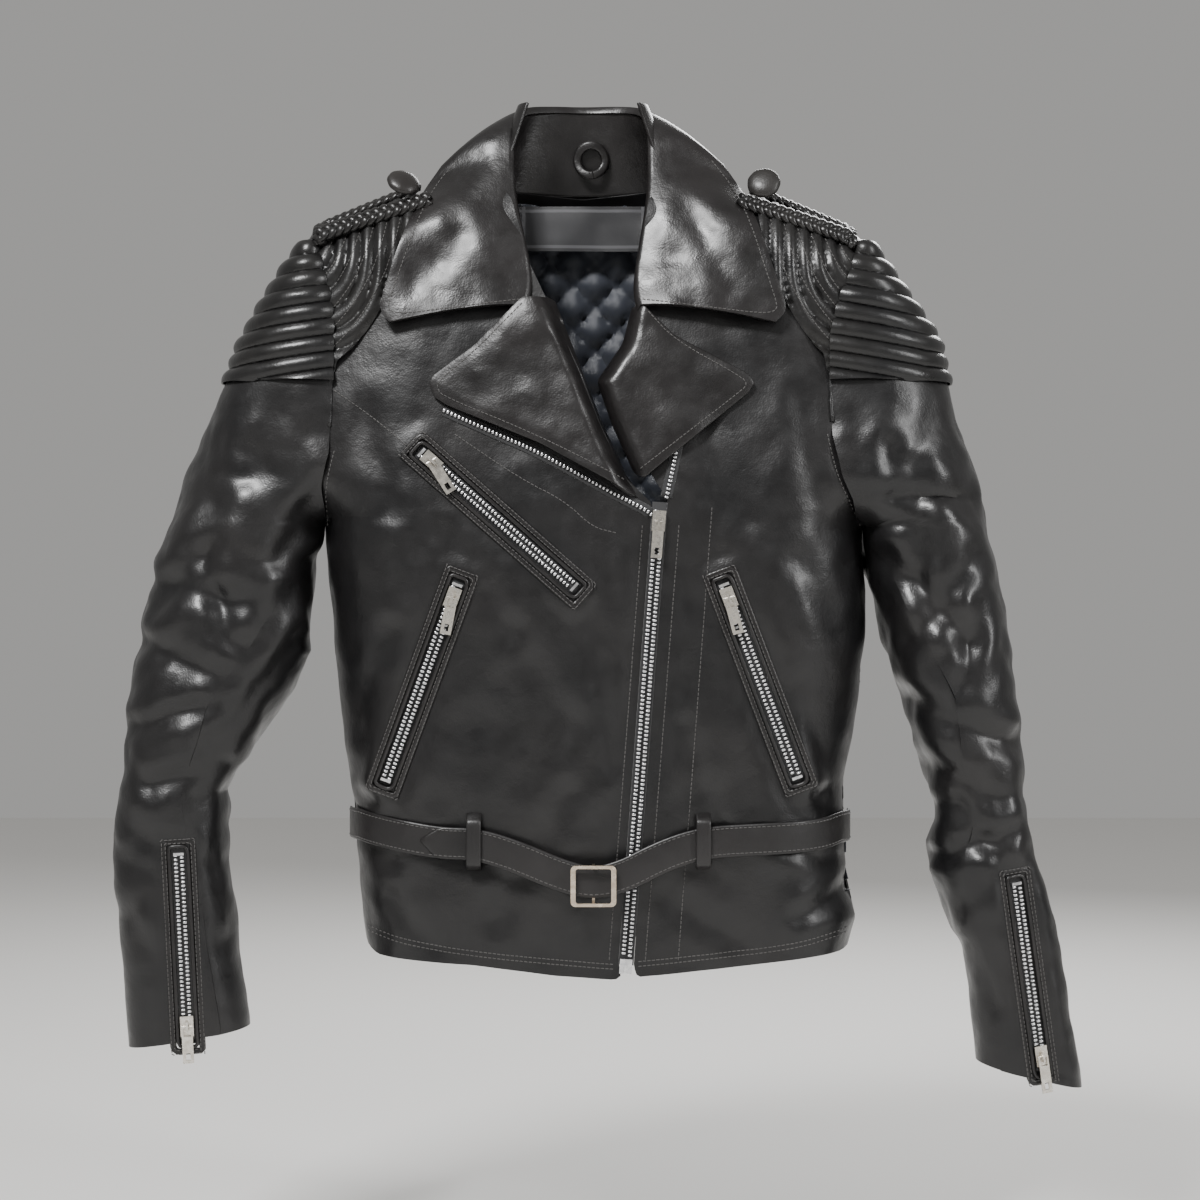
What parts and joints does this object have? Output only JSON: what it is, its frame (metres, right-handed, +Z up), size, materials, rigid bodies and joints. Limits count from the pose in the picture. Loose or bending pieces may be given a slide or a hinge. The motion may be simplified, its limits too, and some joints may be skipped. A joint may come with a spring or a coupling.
{
  "type": "leather riding jacket",
  "caption": "Short black leather riding jacket with a slant front zip, quilted shoulders, braided epaulettes, zip pockets and cuffs, and a belted waist.",
  "frame": {"origin": "middle of the neck opening, level with the top of a hanger inside the shoulders", "axes": "+Z up, the front faces -Y, +X towards the wearer's left"},
  "size_m": [0.7206, 0.1622, 0.7407],
  "materials": {
    "body_leather": "glossy smooth grain",
    "quilted_leather": "glossy smooth grain, channel quilted",
    "collar_leather": "glossy smooth grain, topstitched",
    "belt_leather": "satin smooth grain",
    "braid_leather": "glossy plaited strips",
    "button_leather": "leather stretched over a cap",
    "satin_lining": "quilted satin",
    "label_cloth": "woven satin label",
    "zip_tape": "woven tape",
    "pocket_cloth": "plain pocket cloth",
    "zip_metal": "bright",
    "slider_metal": "worn nickel plate",
    "buckle_metal": "worn pale brass plate",
    "stud_metal": "pressed steel"
  },
  "bodies": {
    "jacket": {"back_panel": "body_leather", "belt_loops": "belt_leather", "belt_strap_long": "belt_leather", "belt_strap_short": "belt_leather", "body_lining": "satin_lining", "chest_pocket_bag": "pocket_cloth", "chest_zip_teeth": "zip_metal", "chest_zip_welt": "body_leather", "collar_fall": "collar_leather", "collar_stand": "collar_leather", "cuff_zip_left_teeth": "zip_metal", "cuff_zip_left_welt": "body_leather", "cuff_zip_right_teeth": "zip_metal", "cuff_zip_right_welt": "body_leather", "epaulette_stud_left": "stud_metal", "epaulette_stud_right": "stud_metal", "front_panel_left": "body_leather", "front_panel_right": "body_leather", "hang_loop": "body_leather", "hip_pocket_bags": "pocket_cloth", "hip_zip_left_teeth": "zip_metal", "hip_zip_left_welt": "body_leather", "hip_zip_right_teeth": "zip_metal", "hip_zip_right_welt": "body_leather", "lapel_left": "collar_leather", "lapel_right": "collar_leather", "main_zip_box": "zip_metal", "main_zip_open_rows": "zip_metal", "main_zip_row_left": "zip_metal", "main_zip_row_right": "zip_metal", "neck_label": "label_cloth", "shoulder_yoke_left": "quilted_leather", "shoulder_yoke_right": "quilted_leather", "sleeve_cap_left": "quilted_leather", "sleeve_cap_right": "quilted_leather", "sleeve_lining_left": "satin_lining", "sleeve_lining_right": "satin_lining", "sleeve_top_left": "body_leather", "sleeve_top_right": "body_leather", "sleeve_under_left": "body_leather", "sleeve_under_right": "body_leather", "zip_stops": "zip_metal", "zip_tapes": "zip_tape"},
    "main_zip_slider": {"main_zip_slider": "slider_metal"},
    "main_zip_pull": {"main_zip_pull": "slider_metal"},
    "chest_zip_slider": {"chest_zip_slider": "slider_metal"},
    "chest_zip_pull": {"chest_zip_pull": "slider_metal"},
    "hip_zip_right_slider": {"hip_zip_right_slider": "slider_metal"},
    "hip_zip_right_pull": {"hip_zip_right_pull": "slider_metal"},
    "hip_zip_left_slider": {"hip_zip_left_slider": "slider_metal"},
    "hip_zip_left_pull": {"hip_zip_left_pull": "slider_metal"},
    "cuff_zip_right_slider": {"cuff_zip_right_slider": "slider_metal"},
    "cuff_zip_right_pull": {"cuff_zip_right_pull": "slider_metal"},
    "cuff_zip_left_slider": {"cuff_zip_left_slider": "slider_metal"},
    "cuff_zip_left_pull": {"cuff_zip_left_pull": "slider_metal"},
    "belt_buckle": {"belt_buckle": "buckle_metal"},
    "epaulette_right": {"epaulette_right": "braid_leather", "epaulette_button_right": "button_leather"},
    "epaulette_left": {"epaulette_left": "braid_leather", "epaulette_button_left": "button_leather"}
  },
  "joints": [
    {"name": "main_zip_slide", "type": "slide", "parent": "jacket", "child": "main_zip_slider", "axis": [-0.0729, 0.0457, -0.9963], "range_m": [0, 0.205]},
    {"name": "main_zip_pull_hinge", "type": "hinge", "parent": "main_zip_slider", "child": "main_zip_pull", "pos_m": [0.04638, -0.0799, -0.27065], "axis": [-0.9973, -0.0038, 0.0728], "range_deg": [0, 160]},
    {"name": "chest_zip_slide", "type": "slide", "parent": "jacket", "child": "chest_zip_slider", "axis": [0.7499, -0.0386, -0.6604], "range_m": [0, 0.1274]},
    {"name": "chest_zip_pull_hinge", "type": "hinge", "parent": "chest_zip_slider", "child": "chest_zip_pull", "pos_m": [-0.11848, -0.07638, -0.22709], "axis": [-0.8422, -0.0663, -0.535], "range_deg": [0, 160]},
    {"name": "hip_zip_right_slide", "type": "slide", "parent": "jacket", "child": "hip_zip_right_slider", "axis": [-0.3469, 0.0861, -0.9339], "range_m": [0, 0.1319]},
    {"name": "hip_zip_right_pull_hinge", "type": "hinge", "parent": "hip_zip_right_slider", "child": "hip_zip_right_pull", "pos_m": [-0.10314, -0.08074, -0.32641], "axis": [-0.9801, 0.0156, 0.198], "range_deg": [0, 160]},
    {"name": "hip_zip_left_slide", "type": "slide", "parent": "jacket", "child": "hip_zip_left_slider", "axis": [0.3576, 0.0733, -0.931], "range_m": [0, 0.1302]},
    {"name": "hip_zip_left_pull_hinge", "type": "hinge", "parent": "hip_zip_left_slider", "child": "hip_zip_left_pull", "pos_m": [0.09709, -0.08085, -0.32636], "axis": [-0.9661, 0.011, -0.2579], "range_deg": [0, 160]},
    {"name": "cuff_zip_right_slide", "type": "slide", "parent": "jacket", "child": "cuff_zip_right_slider", "axis": [-0.0447, -0.0321, 0.9985], "range_m": [0, 0.1162]},
    {"name": "cuff_zip_right_pull_hinge", "type": "hinge", "parent": "cuff_zip_right_slider", "child": "cuff_zip_right_pull", "pos_m": [-0.29978, -0.05074, -0.64164], "axis": [-0.9908, -0.1264, -0.0484], "range_deg": [0, 160]},
    {"name": "cuff_zip_left_slide", "type": "slide", "parent": "jacket", "child": "cuff_zip_left_slider", "axis": [-0.1404, -0.0175, 0.9899], "range_m": [0, 0.1174]},
    {"name": "cuff_zip_left_pull_hinge", "type": "hinge", "parent": "cuff_zip_left_slider", "child": "cuff_zip_left_pull", "pos_m": [0.32916, -0.04985, -0.66347], "axis": [-0.9471, -0.2891, -0.1394], "range_deg": [0, 160]},
    {"name": "belt_buckle_rock", "type": "hinge", "parent": "jacket", "child": "belt_buckle", "pos_m": [-0.001, -0.07445, -0.53453], "axis": [0, -0.0523, 0.9986], "range_deg": [-4, 4]},
    {"name": "epaulette_right_lift", "type": "hinge", "parent": "jacket", "child": "epaulette_right", "pos_m": [-0.20738, -0.014, -0.04763], "axis": [0, -1, 0], "range_deg": [0, 75]},
    {"name": "epaulette_left_lift", "type": "hinge", "parent": "jacket", "child": "epaulette_left", "pos_m": [0.19437, -0.014, -0.04925], "axis": [0, 1, 0], "range_deg": [0, 75]}
  ]
}
